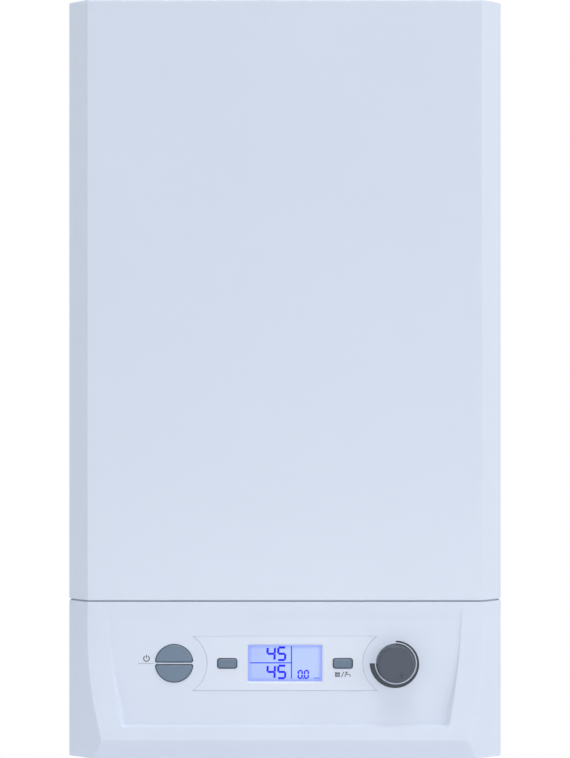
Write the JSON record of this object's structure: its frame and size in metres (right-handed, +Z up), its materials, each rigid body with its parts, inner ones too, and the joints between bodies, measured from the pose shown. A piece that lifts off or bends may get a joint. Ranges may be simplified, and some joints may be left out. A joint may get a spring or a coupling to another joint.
{
  "type": "combi boiler",
  "caption": "Wall-hung condensing combi boiler with a chamfered white cover, a recessed control panel that swings down, and its burner, fan, gas and water parts inside.",
  "frame": {"origin": "middle of the wall bracket's back face, on the wall", "axes": "+Z up, +Y into the wall, the front faces -Y, +X to the viewer's right"},
  "size_m": [0.424, 0.338, 0.795],
  "materials": {
    "white_paint": "satin powder coat",
    "white_plastic": "satin moulded",
    "zinc": "zinc plated",
    "stainless": "brushed stainless",
    "composite": "glass-filled moulding",
    "aluminium": "die cast",
    "brass": "cast and machined",
    "copper": "drawn copper tube",
    "red_paint": "gloss red",
    "button_grey": "satin moulded",
    "slate": "satin moulded",
    "dark_grey": "matt moulded",
    "black_plastic": "matt moulded",
    "rubber": "matt",
    "grey_plastic": "matt moulded",
    "pale_grey": "matt moulded",
    "board_green": "solder mask",
    "display_blue": "lit display",
    "window": "clear",
    "ceramic": "glazed",
    "red_plastic": "moulded",
    "blue_plastic": "moulded"
  },
  "bodies": {
    "frame": {"wall_bracket": "zinc", "hook_rail": "zinc", "rear_frame": "zinc", "left_side_panel": "white_paint", "right_side_panel": "white_paint", "top_panel": "white_paint", "bottom_plate": "zinc", "cross_rail": "zinc", "case_gasket": "rubber", "flue_collar": "black_plastic", "expansion_vessel": "red_paint", "hanger_bracket": "zinc", "heat_exchanger": "composite", "flue_pipe": "grey_plastic", "burner_door": "aluminium", "premix_burner": "stainless", "ignition_electrode": "ceramic", "flame_electrode": "ceramic", "fan_housing": "aluminium", "fan_motor": "black_plastic", "mixture_duct": "aluminium", "venturi": "grey_plastic", "gas_valve": "aluminium", "mixture_pipe": "aluminium", "gas_pipe": "copper", "vessel_hose": "rubber", "flow_block": "brass", "return_block": "brass", "plate_exchanger": "stainless", "pump_housing": "grey_plastic", "pump_motor": "black_plastic", "flow_pipe": "copper", "return_pipe": "copper", "condensate_hose": "grey_plastic", "condensate_trap": "pale_grey", "diverter_motor": "black_plastic", "pressure_sensor": "zinc", "safety_valve": "brass", "air_vent": "brass", "supply_grommet": "rubber"},
    "cover": {"front_cover": "white_paint", "cover_screw_left": "zinc", "cover_screw_right": "zinc"},
    "panel": {"control_fascia": "white_plastic", "display_bezel": "white_plastic", "display_window": "window", "lcd_module": "display_blue", "knob_scale": "dark_grey", "display_board": "board_green", "main_board": "board_green", "control_box": "black_plastic", "box_gland": "rubber"},
    "power_key": {"power_button": "button_grey"},
    "mode_key": {"mode_button": "button_grey"},
    "reset_key": {"reset_button": "button_grey"},
    "select_key": {"select_button": "button_grey"},
    "knob": {"control_knob": "slate"},
    "fan_wheel": {"fan_impeller": "black_plastic"},
    "safety_cap": {"safety_knob": "red_plastic"},
    "fill_tap": {"fill_knob": "blue_plastic"}
  },
  "joints": [
    {"name": "cover_lift_off", "type": "slide", "parent": "frame", "child": "cover", "axis": [0, -1, 0], "range_m": [0, 0.36]},
    {"name": "panel_swing", "type": "hinge", "parent": "frame", "child": "panel", "pos_m": [0, -0.25, -0.672], "axis": [1, 0, 0], "range_deg": [0, 90]},
    {"name": "power_key_press", "type": "slide", "parent": "panel", "child": "power_key", "axis": [0, 1, 0], "range_m": [0, 0.001], "stiffness_N_per_m": 600, "springref_m": -0.0005},
    {"name": "mode_key_press", "type": "slide", "parent": "panel", "child": "mode_key", "axis": [0, 1, 0], "range_m": [0, 0.001], "stiffness_N_per_m": 600, "springref_m": -0.0005},
    {"name": "reset_key_press", "type": "slide", "parent": "panel", "child": "reset_key", "axis": [0, 1, 0], "range_m": [0, 0.001], "stiffness_N_per_m": 600, "springref_m": -0.0005},
    {"name": "select_key_press", "type": "slide", "parent": "panel", "child": "select_key", "axis": [0, 1, 0], "range_m": [0, 0.001], "stiffness_N_per_m": 600, "springref_m": -0.0005},
    {"name": "knob_turn", "type": "hinge", "parent": "panel", "child": "knob", "pos_m": [0.108, -0.3234, -0.589], "axis": [0, 1, 0], "range_deg": [-155, 115]},
    {"name": "fan_spin", "type": "hinge", "parent": "frame", "child": "fan_wheel", "pos_m": [0.12801, -0.215, -0.09], "axis": [0, -1, 0], "continuous": true},
    {"name": "safety_cap_turn", "type": "hinge", "parent": "frame", "child": "safety_cap", "pos_m": [0.084, -0.186, -0.582], "axis": [0, -1, 0], "range_deg": [0, 90]},
    {"name": "fill_tap_turn", "type": "hinge", "parent": "frame", "child": "fill_tap", "pos_m": [0.0975, -0.13, -0.682], "axis": [0, 0, -1], "range_deg": [0, 180]}
  ]
}
